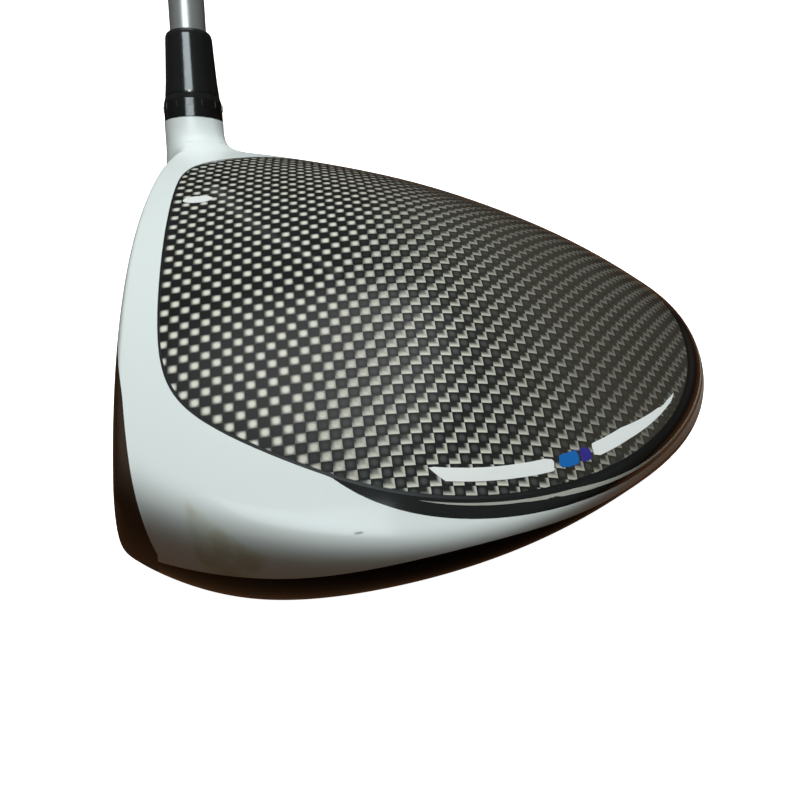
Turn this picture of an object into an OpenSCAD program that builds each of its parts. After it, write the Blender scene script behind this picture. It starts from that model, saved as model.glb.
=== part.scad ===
// Left-handed adjustable golf driver, drawn as an assembly of separate pieces.
// Frame: +Z up, the face looks toward -Y, the toe is +X and the heel -X.
// The origin is the small flat pad on the sole that rests on the ground. Millimetres.

/* [Club] */
// Length along the shaft from the ground to the grip's end
club_length = 1162; // [1080:1:1180]
// Angle between the shaft and the ground, degrees
lie = 57.5; // [56.5:0.1:58.5]
// Lean of the shaft toward the back of the head, degrees
lean = 3.5; // [3.2:0.1:3.8]
// Shaft diameter at the tip
tip_d = 8.5; // [8.4:0.05:8.55]
// Shaft diameter at the butt
butt_d = 15.2; // [14.8:0.1:15.2]
// Length of the rubber grip
grip_length = 268; // [255:1:275]

/* [Head] */
// Loft of the face, degrees
loft = 10.5; // [10:0.1:11]
// Radius of the face's bulge and roll
face_radius = 300; // [280:1:320]
// Thickness of the cast titanium wall
wall = 1.9; // [1.8:0.1:2.2]
// Thickness of the carbon panels
panel = 1.0; // [0.8:0.1:1.1]
// Thickness of the face plate
face_thick = 2.6; // [2.2:0.1:3]
// Gap at a bonded seam
seam = 0.1; // [0.08:0.01:0.15]

/* [Fasteners] */
// Radius of the tunnel that the wrench enters
port_r = 5.8; // [5.7:0.1:5.9]
// Running clearance of the sleeve in the hosel
sleeve_gap = 0.08; // [0.05:0.01:0.1]
// Across-flats of the torx-like socket, drawn as a hexagon
socket_w = 4.2; // [3.8:0.1:4.4]

/* [Hidden] */
$fn = 64;
step_a = 6;                      // angle between the head's grid lines, degrees
crown_rings = 10;
skirt_rings = 8;
sole_rings = 6;

// Head shape: control values every 30 degrees about the head's centre, from the toe
// toward the back, smoothed by a periodic cubic B-spline.
centre_y = 14;
rim_r = [60.5, 62, 63.5, 66, 59.5, 57, 56.5, 59.5, 64, 62.5, 59.5, 57.5];
rim_z = [39.5, 37.5, 35.5, 32.5, 29.5, 34.5, 44, 53.5, 59.5, 58.5, 51, 44.5];
sole_r = [48, 53.5, 67, 70, 64.5, 58, 53.5, 55, 59, 56.5, 50, 46.5];
sole_z = [14.5, 22.5, 24, 20.5, 18.5, 17, 14, 9, 4, 1, 3, 4.5];
apex_z = 58.5;
crown_power = 1.9;
sole_power = 2;
sole_dip = 0.3;                  // the sole's lowest point before the rest pad is cut
crown_handle = 0.35;             // skirt curve handles, as a share of its chord
sole_handle = 0.15;

// Paint and panel lines: control values every 15 degrees.
crown_edge_r = [55.5, 58.7, 61.3, 63, 63.5, 63.2, 62, 60, 57.5, 56, 54.5, 53,
                52, 48, 44.5, 44, 44, 44, 46, 46, 46, 48, 49.5, 51.5];
rim_line_z = [41, 38.3, 36, 32.5, 31, 30.3, 30, 30.3, 30.7, 32.5, 36, 40,
              44.5, 52, 64, 70, 70, 70, 70, 70, 70, 64, 56, 46.5];
sole_line_z = [36, 36.5, 33.5, 29.5, 27.3, 26.3, 26, 26.3, 27, 28, 30, 33,
               36, 36, 34, 30, 24, 20, 20, 20, 22, 26, 29, 31];
panel_floor_z = [for (z = rim_line_z) min(z, 44)];
crown_front_y = -18.5;           // straight front edge of the crown panel
corner_power = 14;               // roundness of the crown panel's front corners

// Hosel axis, measured along the shaft line from the ground.
hosel_x = -29;
hosel_y = -23;
hosel_top_z = 55.1;
hosel_top = hosel_top_z / (sin(lie) * cos(lean));
hosel_r = 7;
barrel_r = 5.05;
barrel_len = 36;
web_top = hosel_top - barrel_len - 0.5;
web_bottom = web_top - 3.5;
port_end = 8;                    // lower end of the hosel tube
head_bore_r = 5.4;               // bore round the bolt's head and washer
tip_r = tip_d / 2;
bond = 0.2;                      // adhesive layer round the shaft tip
shaft_bottom = hosel_top - 24;
insert_top = hosel_top - 25;
insert_r = 3.7;
thread_r = 2.5;
thread_gap = 0.08;
washer_t = 1.2;
washer_top = web_bottom - 0.3;
bolt_head_top = washer_top - washer_t - 0.1;
bolt_head_r = 4.2;
bolt_head_h = 5;
port_step = bolt_head_top - bolt_head_h - 0.2;  // where the wrench port narrows
collar_h = 5.6;
collar_band = 4.2;               // straight part of the collar, below its cone
collar_top_r = 6.5;
ferrule_h = 15.2;

// Grip and shaft.
butt_r = butt_d / 2;
shaft_end = club_length - 6;
tape_t = 0.2;
grip_mouth = club_length - grip_length;
taper_start = hosel_top + 60;
taper_end = grip_mouth - 60;
shaft_wall = 1.1;
vent_r = 1.6;
grip_end_r = 13.3;

// Sole furniture.
slot_y = -28.5;
slot_len = 46;
slot_w = 5;
weight_y = 62;
weight_z = 11.5;
weight_tilt = 31;                // lean of the weight's axis toward the back
weight_r = 9;
weight_h = 6.5;
cup_r = 11;

// ---- curves ----

// Periodic cubic B-spline through the control values v, at angle a.
function spline(v, a) =
    let (n = len(v), t = a / 360 * n, i = floor(t), f = t - i,
         p0 = v[(i + n - 1) % n], p1 = v[i % n], p2 = v[(i + 1) % n], p3 = v[(i + 2) % n])
    (pow(1 - f, 3) * p0 + (3 * pow(f, 3) - 6 * f * f + 4) * p1
     + (-3 * pow(f, 3) + 3 * f * f + 3 * f + 1) * p2 + pow(f, 3) * p3) / 6;

function unit3(v) = v / norm(v);

// A point on the crown: q is 0 at the apex and 1 at the crown rim, t is the inset.
function crown_point(a, q, t) =
    let (r = spline(rim_r, a) - t, z = spline(rim_z, a))
    [r * cos(a) * q, centre_y + r * sin(a) * q,
     z + (apex_z - t - z) * (1 - pow(q, crown_power))];

// A point on the sole: q is 0 at the lowest point and 1 at the sole rim.
function sole_point(a, q, t) =
    let (r = spline(sole_r, a) - t, z = spline(sole_z, a) + 0.6 * t, low = t - sole_dip)
    [r * cos(a) * q, (centre_y + r * sin(a)) * q, low + (z - low) * pow(q, sole_power)];

// A point on the skirt: a Bezier from the crown rim (f = 0) to the sole rim (f = 1).
function skirt_point(a, f, t) =
    let (c = crown_point(a, 1, t), s = sole_point(a, 1, t),
         r = spline(rim_r, a) - t,
         out_c = unit3([r * cos(a), r * sin(a), -(apex_z - t - c[2]) * crown_power]),
         out_s = unit3([s[0], s[1], (s[2] - t + sole_dip) * sole_power]),
         reach = norm(c - s),
         h1 = c + out_c * reach * crown_handle,
         h2 = s + out_s * reach * sole_handle)
    pow(1 - f, 3) * c + 3 * pow(1 - f, 2) * f * h1 + 3 * (1 - f) * f * f * h2 + pow(f, 3) * s;

// Closed solid of the head before the face is cut, inset by t.
module blob(t) {
    angles = [for (a = [0:step_a:359]) a];
    n = len(angles);
    rings = concat(
        [for (k = [1:crown_rings]) [for (a = angles) crown_point(a, k / crown_rings, t)]],
        [for (k = [1:skirt_rings]) [for (a = angles) skirt_point(a, k / skirt_rings, t)]],
        [for (k = [1:sole_rings - 1]) [for (a = angles) sole_point(a, 1 - k / sole_rings, t)]]);
    m = len(rings);
    points = concat([for (ring = rings) each ring],
                    [[0, centre_y, apex_z - t], [0, 0, t - sole_dip]]);
    walls = [for (k = [0:m - 2]) for (i = [0:n - 1]) for (half = [0, 1])
             let (j = (i + 1) % n, p = k * n + i, q = k * n + j, r = p + n, s = q + n)
             half == 0 ? [p, q, s] : [p, s, r]];
    top = [for (i = [0:n - 1]) [m * n, (i + 1) % n, i]];
    bottom = [for (i = [0:n - 1]) [m * n + 1, (m - 1) * n + i, (m - 1) * n + (i + 1) % n]];
    polyhedron(points, concat(walls, top, bottom), convexity = 4);
}

// Ball whose front is the face surface, inset by t.
module face_ball(t) {
    translate([0, -32 + face_radius * cos(loft), 28 - face_radius * sin(loft)])
        sphere(r = face_radius - t, $fn = 200);
}

// Head solid with the face cut, inset by t.
module head_solid(t) {
    intersection() {
        blob(t);
        face_ball(t);
    }
}

// Everything below a line round the skirt, given as heights v.
module below_line(v, lift) {
    n = 72;
    inner = [for (i = [0:n - 1]) let (a = i * 360 / n)
             [25 * cos(a), centre_y + 25 * sin(a), spline(v, a) + lift]];
    outer = [for (i = [0:n - 1]) let (a = i * 360 / n)
             [90 * cos(a), centre_y + 90 * sin(a), spline(v, a) + lift]];
    base = [for (p = outer) [p[0], p[1], -30]];
    points = concat(inner, outer, base, [[0, centre_y, 40], [0, centre_y, -30]]);
    faces = [for (i = [0:n - 1]) for (part = [0:5])
             let (j = (i + 1) % n)
             part == 0 ? [3 * n, j, i]
             : part == 1 ? [i, j, n + j]
             : part == 2 ? [i, n + j, n + i]
             : part == 3 ? [n + i, n + j, 2 * n + j]
             : part == 4 ? [n + i, 2 * n + j, 2 * n + i]
             : [3 * n + 1, 2 * n + i, 2 * n + j]];
    polyhedron(points, faces, convexity = 6);
}

// Radius of the crown panel's edge: a rounded shape with a straight front.
function crown_edge(a, grow) =
    let (r = spline(crown_edge_r, a) + grow,
         front = sin(a) < -0.05 ? (crown_front_y - centre_y - grow) / sin(a) : 1000)
    pow(pow(r, -corner_power) + pow(front, -corner_power), -1 / corner_power);

// Space over the crown panel, kept clear of the skirt below it.
module crown_region(grow, drop) {
    difference() {
        translate([0, centre_y, 20])
            linear_extrude(60)
                polygon([for (a = [0:5:355]) crown_edge(a, grow) * [cos(a), sin(a)]]);
        below_line(panel_floor_z, -drop);
    }
}

// Whole mesh pieces are handed over as one subtree.
module faceted() {
    resize([0, 0, 0]) children();
}

module on_hosel(at) {
    translate([hosel_x, hosel_y, 0]) rotate([-lean, lie - 90, 0]) translate([0, 0, at])
        children();
}

// ---- shells of the head ----

// Concave neck between the hosel tube and the crown.
module hosel_neck() {
    neck_r = 7.5;
    on_hosel(0)
        rotate_extrude($fn = 72)
            polygon(concat(
                [[2, hosel_top - 30], [hosel_r + 0.6, hosel_top - 3.5]],
                [for (a = [180:10:270]) [hosel_r + 0.7 + neck_r + neck_r * cos(a),
                                         hosel_top - 4 + 1.05 * neck_r * sin(a)]],
                [[hosel_r + 12, hosel_top - 30]]));
}

module body_shell() {
    color("white") faceted() difference() {
        union() {
            head_solid(0);
            intersection() {
                hosel_neck();
                translate([-100, -60, 30]) cube([90, 60, 60]);
            }
        }
        blob(wall);
        difference() {
            union() {
                crown_region(0.7 + seam, 0);
                difference() {
                    translate([-90, -60, 24]) cube([180, 180, 60]);
                    below_line(rim_line_z, seam / 2);
                }
            }
            blob(panel + seam);
        }
        crown_region(-5, 2);
        below_line(sole_line_z, seam / 2);
        on_hosel(0) cylinder(r = hosel_r + 0.1, h = 100);
    }
}

module face_plate() {
    color([0.12, 0.11, 0.11]) faceted() difference() {
        intersection() {
            blob(wall + seam);
            face_ball(0);
        }
        face_ball(face_thick);
        on_hosel(0) cylinder(r = hosel_r + 0.1, h = 100);
    }
}

module crown_panel() {
    color([0.15, 0.15, 0.16]) faceted() difference() {
        intersection() {
            head_solid(0);
            crown_region(0, 0);
        }
        blob(panel);
    }
}

// A point of the crown surface at the panel's edge grown by grow, drop below the surface.
function edge_point(a, grow, drop) =
    let (r = crown_edge(a, grow), p = crown_point(a, r / spline(rim_r, a), 0))
    [p[0], p[1], p[2] - drop];

// Black bead in the groove round the crown panel.
module crown_seam() {
    n = 72;
    corners = [[0.12, 0.05], [0.68, 0.05], [0.68, 0.4], [0.12, 0.4]];
    points = [for (i = [0:n - 1]) for (c = corners) edge_point(i * 360 / n, c[0], c[1])];
    faces = [for (i = [0:n - 1]) for (k = [0:3]) for (half = [0, 1])
             let (p = i * 4 + k, q = i * 4 + (k + 1) % 4,
                  r = ((i + 1) % n) * 4 + k, s = ((i + 1) % n) * 4 + (k + 1) % 4)
             half == 0 ? [p, s, q] : [p, r, s]];
    color("black") polyhedron(points, faces, convexity = 6);
}

// Gloss black border behind the crown panel, tapering away at both ends.
module rear_trim() {
    color([0.05, 0.05, 0.05]) faceted() difference() {
        intersection() {
            head_solid(0);
            translate([-90, -10, 24]) cube([180, 120, 60]);
        }
        below_line(rim_line_z, seam);
        crown_region(0.8, 1);
        blob(panel);
    }
}

// Outline of the sole inside its rim, for the panels.
module sole_outline(inset) {
    polygon([for (a = [0:5:355]) let (r = spline(sole_r, a) - inset)
             [r * cos(a), centre_y + r * sin(a)]]);
}

// One sole panel in plan; side is 1 at the toe and -1 at the heel.
module sole_panel_plan(side, grow) {
    offset(delta = grow) offset(r = 5, $fn = 24) offset(delta = -5)
        intersection() {
            sole_outline(12);
            translate([side > 0 ? 15 : -95, 4]) square([80, 90]);
        }
}

// Space under one sole panel, down to the inset low.
module sole_panel_space(side, grow, low) {
    difference() {
        translate([0, 0, -5]) linear_extrude(24) sole_panel_plan(side, grow);
        blob(low);
    }
}

module sole_panel(side) {
    color([0.06, 0.06, 0.06]) faceted() intersection() {
        head_solid(0);
        sole_panel_space(side, 0, panel);
    }
}

module sole_panel_toe() {
    sole_panel(1);
}

module sole_panel_heel() {
    sole_panel(-1);
}

// Aft keel in plan, wider at the weight.
module keel_plan(grow) {
    offset(delta = grow) offset(r = 3, $fn = 24) offset(delta = -3)
        polygon([[-6, 26], [6, 26], [12.5, 58], [12.5, 79], [-12.5, 79], [-12.5, 58]]);
}

module slot_plan(grow) {
    offset(delta = grow)
        hull() for (x = [-1, 1]) translate([x * (slot_len - slot_w) / 2, slot_y])
            circle(d = slot_w, $fn = 24);
}

module on_weight(at) {
    translate([0, weight_y, weight_z]) rotate([weight_tilt, 0, 0]) translate([0, 0, at])
        children();
}

module sole_shell() {
    color([0.04, 0.04, 0.04]) faceted() difference() {
        head_solid(0);
        blob(wall);
        difference() {
            translate([-95, -60, -20]) cube([190, 180, 100]);
            below_line(sole_line_z, -seam / 2);
        }
        translate([-95, -60, -20]) cube([190, 180, 20]);
        sole_panel_space(1, seam, panel + seam);
        sole_panel_space(-1, seam, panel + seam);
        difference() {
            translate([0, 0, -5]) linear_extrude(30) keel_plan(seam);
            blob(panel + seam);
        }
        on_weight(-15) cylinder(r = cup_r + 0.1, h = 35);
        translate([0, 0, -5]) linear_extrude(20) slot_plan(seam);
        on_hosel(-10) cylinder(r = hosel_r + 0.1, h = 60);
    }
}

module sole_keel() {
    color([0.05, 0.05, 0.05]) faceted() difference() {
        intersection() {
            translate([0, 0, 0.5]) linear_extrude(22.5) keel_plan(0);
            blob(-2.2);
        }
        blob(panel);
        on_weight(-15) cylinder(r = cup_r + 0.1, h = 35);
    }
}

module slot_insert() {
    color([0.2, 0.2, 0.21]) faceted() difference() {
        intersection() {
            translate([0, 0, -5]) linear_extrude(20) slot_plan(0);
            head_solid(0.4);
        }
        blob(wall);
    }
}

// ---- hosel and its fastening ----

// Hosel tube: sleeve bore, web and wrench port on one axis, with clocking notches on top.
module hosel_tube() {
    color("white") on_hosel(0) difference() {
        translate([0, 0, port_end]) cylinder(r = hosel_r, h = hosel_top - port_end);
        translate([0, 0, web_top]) cylinder(r = barrel_r + sleeve_gap, h = 60);
        cylinder(r = port_r, h = port_step);
        cylinder(r = head_bore_r, h = web_bottom);
        cylinder(r = thread_r + 0.4, h = hosel_top);
        for (k = [0:3]) rotate([0, 0, 90 * k + 45])
            translate([0, -1.25, hosel_top - 2.2]) cube([6, 2.5, 10]);
    }
}

module bolt_washer() {
    color([0.7, 0.7, 0.72]) on_hosel(washer_top - washer_t) difference() {
        cylinder(r = 4.9, h = washer_t);
        translate([0, 0, -1]) cylinder(r = thread_r + 0.3, h = 5);
    }
}

module hex_socket(depth) {
    translate([0, 0, -1]) cylinder(d = socket_w / cos(30), h = depth + 1, $fn = 6);
}

module hosel_bolt() {
    color([0.5, 0.5, 0.52]) on_hosel(0) difference() {
        union() {
            translate([0, 0, bolt_head_top - bolt_head_h])
                cylinder(r = bolt_head_r, h = bolt_head_h);
            translate([0, 0, bolt_head_top - 0.5])
                cylinder(r = thread_r, h = insert_top - 1 - bolt_head_top);
        }
        translate([0, 0, bolt_head_top - bolt_head_h]) hex_socket(3.5);
    }
}

// Adjustable sleeve: collar above the hosel, barrel inside it, four clocking keys.
module loft_sleeve() {
    color([0.05, 0.05, 0.05]) on_hosel(0) difference() {
        union() {
            translate([0, 0, hosel_top - barrel_len]) cylinder(r = barrel_r, h = barrel_len + 1);
            translate([0, 0, hosel_top + 0.2])
                cylinder(r1 = hosel_r - 0.05, r2 = hosel_r - 0.1, h = collar_band);
            translate([0, 0, hosel_top + 0.2 + collar_band])
                cylinder(r1 = hosel_r - 0.1, r2 = collar_top_r, h = collar_h - collar_band);
            for (k = [0:3]) rotate([0, 0, 90 * k + 45])
                translate([4, -1, hosel_top - 1.9]) cube([1.85, 2, 3]);
            for (k = [0:11]) rotate([0, 0, 30 * k])
                translate([hosel_r - 0.6, -0.5, hosel_top + 2.7]) cube([0.7, 1, 1.4]);
        }
        translate([0, 0, shaft_bottom]) cylinder(r = tip_r + bond, h = 60);
        translate([0, 0, hosel_top - barrel_len - 1]) cylinder(r = insert_r, h = 12);
        translate([0, 0, insert_top - 1]) cylinder(r = 2, h = 10);
    }
}

// Steel thread insert pressed into the sleeve's lower end.
module thread_insert() {
    color([0.75, 0.75, 0.77]) on_hosel(hosel_top - barrel_len) difference() {
        cylinder(r = insert_r, h = 11);
        translate([0, 0, -1]) cylinder(r = thread_r + thread_gap, h = 20);
    }
}

// Adhesive layer between the shaft tip and the sleeve.
module tip_bond() {
    color([0.8, 0.7, 0.4]) on_hosel(shaft_bottom + 0.5) difference() {
        cylinder(r = tip_r + bond, h = 28);
        translate([0, 0, -1]) cylinder(r = tip_r, h = 40);
    }
}

module ferrule() {
    base = hosel_top + 0.2 + collar_h;
    color([0.03, 0.03, 0.03]) on_hosel(base) rotate_extrude()
        polygon(concat(
            [[tip_r, 0], [6.4, 0], [6.45, 0.4], [6.1, 4], [5.8, 9], [5.55, ferrule_h - 1.4]],
            [for (a = [20:20:80]) [4.5 + cos(a), ferrule_h - 1.2 + 1.2 * sin(a)]],
            [[tip_r, ferrule_h]]));
}

// ---- shaft and grip ----

module shaft() {
    color([0.6, 0.6, 0.62]) on_hosel(0) rotate_extrude()
        polygon([[tip_r, shaft_bottom], [tip_r, taper_start], [butt_r, taper_end],
                 [butt_r, shaft_end], [butt_r - shaft_wall, shaft_end],
                 [butt_r - shaft_wall, taper_end], [tip_r - 1.6, taper_start],
                 [tip_r - 1.6, shaft_bottom]]);
}

module grip_tape() {
    color([0.85, 0.8, 0.65]) on_hosel(grip_mouth + 5) difference() {
        cylinder(r = butt_r + tape_t, h = shaft_end - grip_mouth - 8);
        translate([0, 0, -1]) cylinder(r = butt_r, h = 400);
    }
}

// Outer radius of the grip at a height above its mouth.
function grip_r(h) = 9.3 + (grip_end_r - 9.3) * pow(h / grip_length, 1.15);

// Tapered rubber grip with shallow traction grooves.
module grip() {
    body = grip_length - 5;
    pitch = 7;
    groove = 0.5;
    first = 14;
    count = floor((body - 24 - first) / pitch);
    color([0.08, 0.08, 0.08]) on_hosel(grip_mouth) rotate_extrude()
        polygon(concat(
            [[butt_r + tape_t, 0], [grip_r(0) - 0.6, 0], [grip_r(0), 0.8]],
            [for (k = [0:count]) for (s = [-1, 0, 1])
             let (h = first + k * pitch + s * groove)
             [grip_r(h) - (s == 0 ? groove : 0), h]],
            [[grip_r(body), body], [butt_r + tape_t, body]]));
}

// End cap with a vent hole, closing the grip above the shaft.
module grip_cap() {
    color([0.08, 0.08, 0.08]) on_hosel(club_length - 5) difference() {
        rotate_extrude()
            polygon(concat([[0, 0], [grip_end_r - 0.1, 0], [grip_end_r - 0.1, 2]],
                           [for (a = [15:15:90]) [grip_end_r - 3.1 + 3 * cos(a), 2 + 3 * sin(a)]],
                           [[0, 5]]));
        translate([0, 0, -1]) cylinder(r = vent_r, h = 10);
    }
}

// ---- rear weight ----

module weight_cup() {
    color([0.3, 0.3, 0.31]) on_weight(-3) difference() {
        cylinder(r = cup_r, h = weight_h + 6);
        translate([0, 0, -1]) cylinder(r = weight_r + 0.35, h = weight_h + 1.5);
        cylinder(r = thread_r + thread_gap, h = weight_h + 4.5);
    }
}

module rear_weight() {
    color([0.6, 0.6, 0.62]) on_weight(-3) difference() {
        cylinder(r = weight_r, h = weight_h);
        translate([0, 0, -1]) cylinder(r = thread_r + 0.4, h = 20);
        translate([0, 0, -1]) cylinder(r = 4.6, h = 3.4);
    }
}

module weight_screw() {
    color([0.75, 0.75, 0.77]) on_weight(-3) difference() {
        union() {
            cylinder(r = 4.2, h = 2.1);
            translate([0, 0, 1.5]) cylinder(r = thread_r, h = weight_h + 1.5);
        }
        hex_socket(1.4);
    }
}

// ---- selection ----

body_shell();
face_plate();
crown_panel();
crown_seam();
rear_trim();
sole_shell();
sole_panel_toe();
sole_panel_heel();
sole_keel();
slot_insert();
hosel_tube();
weight_cup();
rear_weight();
weight_screw();
hosel_bolt();
bolt_washer();
loft_sleeve();
thread_insert();
tip_bond();
ferrule();
shaft();
grip_tape();
grip();
grip_cap();
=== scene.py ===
"""Golf driver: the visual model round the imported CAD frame. Metres, in the CAD's frame."""

import math

import bpy
import numpy as np
from mathutils import Matrix, Vector
from mathutils.bvhtree import BVHTree


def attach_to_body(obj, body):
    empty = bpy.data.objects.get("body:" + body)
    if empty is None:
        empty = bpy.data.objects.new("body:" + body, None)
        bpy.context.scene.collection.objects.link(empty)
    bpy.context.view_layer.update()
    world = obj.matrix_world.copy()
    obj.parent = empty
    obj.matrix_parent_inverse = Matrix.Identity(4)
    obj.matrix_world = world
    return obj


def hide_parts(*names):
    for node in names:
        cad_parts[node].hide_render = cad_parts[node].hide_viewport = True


MM = 0.001

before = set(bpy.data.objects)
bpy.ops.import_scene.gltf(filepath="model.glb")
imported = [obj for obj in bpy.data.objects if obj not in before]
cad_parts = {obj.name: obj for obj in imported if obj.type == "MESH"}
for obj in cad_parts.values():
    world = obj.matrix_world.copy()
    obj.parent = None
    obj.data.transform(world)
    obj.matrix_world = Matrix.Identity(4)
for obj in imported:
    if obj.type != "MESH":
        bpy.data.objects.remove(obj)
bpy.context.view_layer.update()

# ---- the head's shape, in millimetres, as in the CAD source ----

CENTRE_Y = 14.0
HEAD_MIDDLE = np.array([0, CENTRE_Y, 28])
# The rim and the sole's edge: one value every 30 degrees, from the toe toward the back.
RIM_R = [60.5, 62, 63.5, 66, 59.5, 57, 56.5, 59.5, 64, 62.5, 59.5, 57.5]
RIM_Z = [39.5, 37.5, 35.5, 32.5, 29.5, 34.5, 44, 53.5, 59.5, 58.5, 51, 44.5]
SOLE_R = [48, 53.5, 67, 70, 64.5, 58, 53.5, 55, 59, 56.5, 50, 46.5]
SOLE_Z = [14.5, 22.5, 24, 20.5, 18.5, 17, 14, 9, 4, 1, 3, 4.5]
APEX_Z = 58.5
CROWN_POWER = 1.9
SOLE_POWER = 2.0
SOLE_DIP = 0.3
CROWN_HANDLE = 0.35
SOLE_HANDLE = 0.15
LOFT = math.radians(10.5)
FACE_RADIUS = 300.0
FACE_CENTRE = np.array([0, -32 + FACE_RADIUS * math.cos(LOFT), 28 - FACE_RADIUS * math.sin(LOFT)])

# Lines of the panels and the paint: one value every 15 degrees, from the toe toward the back.
CROWN_EDGE_R = [55.5, 58.7, 61.3, 63, 63.5, 63.2, 62, 60, 57.5, 56, 54.5, 53,
                52, 48, 44.5, 44, 44, 44, 46, 46, 46, 48, 49.5, 51.5]
RIM_LINE_Z = [41, 38.3, 36, 32.5, 31, 30.3, 30, 30.3, 30.7, 32.5, 36, 40,
              44.5, 52, 64, 70, 70, 70, 70, 70, 70, 64, 56, 46.5]
SOLE_LINE_Z = [36, 36.5, 33.5, 29.5, 27.3, 26.3, 26, 26.3, 27, 28, 30, 33,
               36, 36, 34, 30, 24, 20, 20, 20, 22, 26, 29, 31]
CROWN_FRONT_Y = -18.5
CORNER_POWER = 14
SEAM_WIDTH = 0.4
SOLE_GAP = 0.15                # how far the sole's skin stops short of the pieces set into it
OFF = -20                      # field value that keeps a vertex out of a piece
GRID_SIZE = (420, 84, 46, 40)  # columns, and rows of the crown, the skirt and the sole
POLE = 0.02                    # share of a row left at the top and bottom points

LIE = math.radians(57.5)
LEAN = math.radians(3.5)
SHAFT_UP = np.array([-math.cos(LIE) * math.cos(LEAN), math.sin(LEAN), math.sin(LIE) * math.cos(LEAN)])
SHAFT_SIDE = np.array([math.sin(LIE), 0, math.cos(LIE)])
SHAFT_BACK = np.cross(SHAFT_UP, SHAFT_SIDE)
HOSEL_FOOT = np.array([-29.0, -23.0, 0.0])
HOSEL_TOP = 55.1 / SHAFT_UP[2]
HOSEL_R = 7.0
CLUB_LENGTH = 1162.0
GRIP_LENGTH = 268.0
WEIGHT_AT = np.array([0, 62.0, 11.5])
WEIGHT_TILT = math.radians(31)
WEIGHT_AXIS = np.array([0, math.sin(WEIGHT_TILT), -math.cos(WEIGHT_TILT)])
WEIGHT_HOLE_R = 11.1


def spline(values, angle):
    """Periodic cubic B-spline through evenly spaced control values, at an angle in radians."""
    v = np.asarray(values, float)
    n = len(v)
    t = np.mod(angle, 2 * np.pi) / (2 * np.pi) * n
    i = np.floor(t).astype(int)
    f = t - i
    w = [(1 - f) ** 3, 3 * f**3 - 6 * f**2 + 4, -3 * f**3 + 3 * f**2 + 3 * f + 1, f**3]
    return sum(w[k] * v[(i - 1 + k) % n] for k in range(4)) / 6


def smooth_min(a, b, k):
    """Lower of two fields, rounded over a width k."""
    h = np.clip(0.5 + 0.5 * (b - a) / k, 0, 1)
    return b * (1 - h) + a * h - k * h * (1 - h)


def ray_frame(angle):
    """Rim points, sole points and outward directions for each angle."""
    c, s = np.cos(angle), np.sin(angle)
    rim_r, rim_z = spline(RIM_R, angle), spline(RIM_Z, angle)
    sole_r, sole_z = spline(SOLE_R, angle), spline(SOLE_Z, angle)
    rim = np.stack([rim_r * c, CENTRE_Y + rim_r * s, rim_z], -1)
    sole = np.stack([sole_r * c, CENTRE_Y + sole_r * s, sole_z], -1)
    out_rim = np.stack([rim_r * c, rim_r * s, -(APEX_Z - rim_z) * CROWN_POWER], -1)
    out_sole = np.stack([sole[:, 0], sole[:, 1], (sole_z + SOLE_DIP) * SOLE_POWER], -1)
    out_rim /= np.linalg.norm(out_rim, axis=-1, keepdims=True)
    out_sole /= np.linalg.norm(out_sole, axis=-1, keepdims=True)
    return rim, sole, out_rim, out_sole


def crown_row(rim, q):
    """One ring of the crown; q is 0 at the apex and 1 at the rim."""
    row = rim.copy()
    row[:, 0] *= q
    row[:, 1] = CENTRE_Y + (rim[:, 1] - CENTRE_Y) * q
    row[:, 2] += (APEX_Z - rim[:, 2]) * (1 - q**CROWN_POWER)
    return row


def skirt_row(rim, sole, out_rim, out_sole, f):
    """One ring of the skirt, a Bezier from the rim to the sole."""
    reach = np.linalg.norm(rim - sole, axis=-1, keepdims=True)
    h1 = rim + out_rim * reach * CROWN_HANDLE
    h2 = sole + out_sole * reach * SOLE_HANDLE
    return (1 - f) ** 3 * rim + 3 * (1 - f) ** 2 * f * h1 + 3 * (1 - f) * f**2 * h2 + f**3 * sole


def sole_row(sole, q):
    """One ring of the sole; q is 1 at the sole's rim and 0 at its lowest point."""
    row = sole * q
    row[:, 2] = -SOLE_DIP + (sole[:, 2] + SOLE_DIP) * q**SOLE_POWER
    return row


def ball_front(points):
    """The face's surface in front of each point."""
    dx, dz = points[..., 0] - FACE_CENTRE[0], points[..., 2] - FACE_CENTRE[2]
    return FACE_CENTRE[1] - np.sqrt(FACE_RADIUS**2 - dx**2 - dz**2)


def press_on_face(points, softness):
    """Lays what stands in front of the face on it, between its top and bottom edges, which are
    rounded; also gives the distance behind the face, negative inside the edges."""
    flat = points.copy()
    gap = points[..., 1] - ball_front(points)
    for c in range(gap.shape[1]):
        ahead = np.flatnonzero(gap[:, c] < 0)
        if len(ahead) == 0:
            continue
        a, b = ahead[0], ahead[-1]
        start = a - 1 + gap[a - 1, c] / (gap[a - 1, c] - gap[a, c])
        stop = b + gap[b, c] / (gap[b, c] - gap[b + 1, c])
        top = points[a - 1, c] + (points[a, c] - points[a - 1, c]) * (start - a + 1)
        low = points[b, c] + (points[b + 1, c] - points[b, c]) * (stop - b)
        share = (np.arange(a, b + 1) - start) / (stop - start)
        flat[a:b + 1, c] = top + (low - top) * share[:, None]
        gap[a:b + 1, c] = -np.linalg.norm(low - top) * np.minimum(share, 1 - share)
    flat[..., 1] = ball_front(flat) + 0.5 * (gap + np.sqrt(gap**2 + softness**2))
    return flat, gap


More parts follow.
